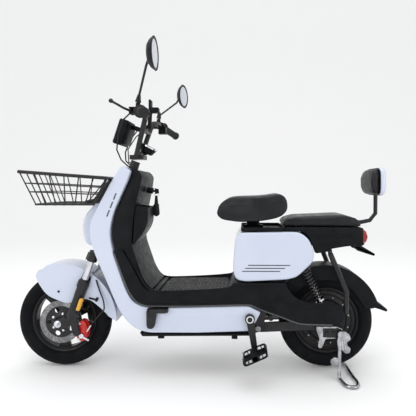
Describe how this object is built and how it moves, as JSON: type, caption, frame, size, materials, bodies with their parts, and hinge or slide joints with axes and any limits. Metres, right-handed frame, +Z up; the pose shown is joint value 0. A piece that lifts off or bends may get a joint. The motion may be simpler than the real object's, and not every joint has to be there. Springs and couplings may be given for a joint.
{
  "type": "step-through electric moped",
  "caption": "Step-through electric moped with pedals, front basket, sprung fork, swingarm, saddle, rear seat with backrest, mirrors and a centre stand.",
  "frame": {"origin": "on the ground, under the middle of the outline, with the stand down", "axes": "+Z up, front of the vehicle towards -X, rider's left towards -Y"},
  "size_m": [1.572, 0.778, 1.295],
  "materials": {
    "white_plastic": "high gloss",
    "black_plastic": "satin moulded",
    "black_metal": "satin powder coat",
    "frame_paint": "satin powder coat",
    "chrome": "polished",
    "silver_steel": "brushed",
    "alloy": "satin",
    "tyre": "rubber tread",
    "rubber": "matt",
    "leather": "grained leatherette",
    "red_paint": "gloss",
    "red_lens": "translucent",
    "clear_lens": "clear",
    "spring": "gloss black"
  },
  "bodies": {
    "frame": {"main_frame": "frame_paint", "frame_bearings": "silver_steel", "nose_cover": "white_plastic", "side_panel_left": "white_plastic", "side_panel_right": "white_plastic", "leg_shield": "black_plastic", "floor_board": "black_plastic", "floor_mat": "rubber", "belly_pan": "black_plastic", "battery_cover": "white_plastic", "battery_pack": "black_plastic", "motor_controller": "alloy", "tail_cover": "black_plastic", "rear_seat": "leather", "tail_light": "red_lens", "backrest_tube": "black_metal", "backrest_pad": "leather", "backrest_shell": "white_plastic", "rear_fender": "black_plastic", "basket": "black_metal", "ignition_lock": "black_plastic"},
    "steering": {"fork_crown": "black_metal", "stanchions": "chrome", "handlebar": "black_metal", "grip_left": "rubber", "headlight": "black_plastic", "headlight_lens": "clear_lens", "instrument_pod": "black_plastic", "control_pods": "black_plastic", "control_cables": "rubber", "mirror_stems": "black_metal"},
    "throttle": {"throttle_grip": "rubber"},
    "lever_left": {"brake_lever_left": "black_metal"},
    "lever_right": {"brake_lever_right": "black_metal"},
    "horn": {"horn_button": "black_plastic"},
    "mirror_left": {"mirror_head_left": "black_plastic"},
    "mirror_right": {"mirror_head_right": "black_plastic"},
    "fork_lower": {"fork_lowers": "black_metal", "front_fender": "white_plastic", "brake_caliper": "red_paint"},
    "front_wheel": {"front_rim": "alloy", "front_tyre": "tyre", "brake_rotor": "silver_steel"},
    "swingarm": {"swingarm": "black_metal", "chain": "silver_steel"},
    "rear_wheel": {"rear_rim": "alloy", "rear_tyre": "tyre"},
    "freewheel": {"rear_sprocket": "silver_steel"},
    "shock_upper": {"shock_bodies": "black_metal", "shock_springs": "spring"},
    "shock_lower": {"shock_rods": "chrome"},
    "crank": {"crankset": "black_metal"},
    "pedal_left": {"pedal_left": "black_plastic"},
    "pedal_right": {"pedal_right": "black_plastic"},
    "stand": {"centre_stand": "chrome"},
    "saddle": {"saddle": "leather", "seat_post": "chrome"},
    "footrest_left": {"footrest_left": "black_metal"},
    "footrest_right": {"footrest_right": "black_metal"},
    "key": {"ignition_key": "black_plastic"}
  },
  "joints": [
    {"name": "steering_turn", "type": "hinge", "parent": "frame", "child": "steering", "pos_m": [-0.287, 0, 0.864], "axis": [0.342, 0, 0.9397], "range_deg": [-32, 32]},
    {"name": "throttle_twist", "type": "hinge", "parent": "steering", "child": "throttle", "pos_m": [-0.208, 0.205, 1.058], "axis": [0.3319, 0.922, -0.1992], "range_deg": [0, 60], "stiffness_Nm_per_rad": 0.6, "springref_deg": -17.19},
    {"name": "lever_left_pull", "type": "hinge", "parent": "steering", "child": "lever_left", "pos_m": [-0.249, -0.19, 1.064], "axis": [0, 0, 1], "range_deg": [0, 18], "stiffness_Nm_per_rad": 3, "springref_deg": -11.46},
    {"name": "lever_right_pull", "type": "hinge", "parent": "steering", "child": "lever_right", "pos_m": [-0.249, 0.19, 1.064], "axis": [0, 0, -1], "range_deg": [0, 18], "stiffness_Nm_per_rad": 3, "springref_deg": -11.46},
    {"name": "horn_press", "type": "slide", "parent": "steering", "child": "horn", "axis": [-1, 0, 0], "range_m": [0, 0.002], "stiffness_N_per_m": 400, "springref_m": -0.002},
    {"name": "mirror_left_tilt", "type": "hinge", "parent": "steering", "child": "mirror_left", "pos_m": [-0.144, -0.325, 1.229], "axis": [0, 1, 0], "range_deg": [-12, 12]},
    {"name": "mirror_right_tilt", "type": "hinge", "parent": "steering", "child": "mirror_right", "pos_m": [-0.144, 0.325, 1.229], "axis": [0, 1, 0], "range_deg": [-12, 12]},
    {"name": "fork_slide", "type": "slide", "parent": "steering", "child": "fork_lower", "axis": [0.342, 0, 0.9397], "range_m": [0, 0.035], "stiffness_N_per_m": 9000, "springref_m": -0.035},
    {"name": "front_wheel_spin", "type": "hinge", "parent": "fork_lower", "child": "front_wheel", "pos_m": [-0.585, 0, 0.2], "axis": [0, -1, 0], "continuous": true},
    {"name": "swingarm_lift", "type": "hinge", "parent": "frame", "child": "swingarm", "pos_m": [0.246, 0, 0.19], "axis": [0, -1, 0], "range_deg": [0, 5], "stiffness_Nm_per_rad": 1000, "springref_deg": -16.04},
    {"name": "rear_wheel_spin", "type": "hinge", "parent": "swingarm", "child": "rear_wheel", "pos_m": [0.536, 0, 0.203], "axis": [0, -1, 0], "continuous": true},
    {"name": "freewheel_spin", "type": "hinge", "parent": "swingarm", "child": "freewheel", "pos_m": [0.536, 0, 0.203], "axis": [0, -1, 0], "continuous": true},
    {"name": "shock_swing", "type": "hinge", "parent": "frame", "child": "shock_upper", "pos_m": [0.425, 0, 0.455], "axis": [0, -1, 0], "range_deg": [0, 1]},
    {"name": "shock_stroke", "type": "slide", "parent": "shock_upper", "child": "shock_lower", "axis": [-0.4371, 0, 0.8994], "range_m": [0, 0.026], "deforming": ["shock_springs"]},
    {"name": "crank_spin", "type": "hinge", "parent": "frame", "child": "crank", "pos_m": [0.212, 0, 0.245], "axis": [0, -1, 0], "continuous": true},
    {"name": "pedal_left_spin", "type": "hinge", "parent": "crank", "child": "pedal_left", "pos_m": [0.23077, -0.19, 0.12648], "axis": [0, 1, 0], "continuous": true},
    {"name": "pedal_right_spin", "type": "hinge", "parent": "crank", "child": "pedal_right", "pos_m": [0.19323, 0.19, 0.36352], "axis": [0, 1, 0], "continuous": true},
    {"name": "stand_fold", "type": "hinge", "parent": "swingarm", "child": "stand", "pos_m": [0.577, 0, 0.177], "axis": [0, -1, 0], "range_deg": [0, 80]},
    {"name": "saddle_height", "type": "slide", "parent": "frame", "child": "saddle", "axis": [0, 0, 1], "range_m": [0, 0.06]},
    {"name": "footrest_left_fold", "type": "hinge", "parent": "frame", "child": "footrest_left", "pos_m": [-0.155, -0.142, 0.277], "axis": [-1, 0, 0], "range_deg": [0, 85]},
    {"name": "footrest_right_fold", "type": "hinge", "parent": "frame", "child": "footrest_right", "pos_m": [-0.155, 0.142, 0.277], "axis": [1, 0, 0], "range_deg": [0, 85]},
    {"name": "key_turn", "type": "hinge", "parent": "frame", "child": "key", "pos_m": [-0.213, 0, 0.7535], "axis": [0.982, 0, -0.1888], "range_deg": [0, 90]}
  ],
  "couplings": [
    {"joint": "shock_swing", "follows": "swingarm_lift", "ratio": 0.154},
    {"joint": "shock_stroke", "follows": "swingarm_lift", "m_per_rad": 0.278},
    {"joint": "freewheel_spin", "follows": "crank_spin", "ratio": 1.125}
  ]
}
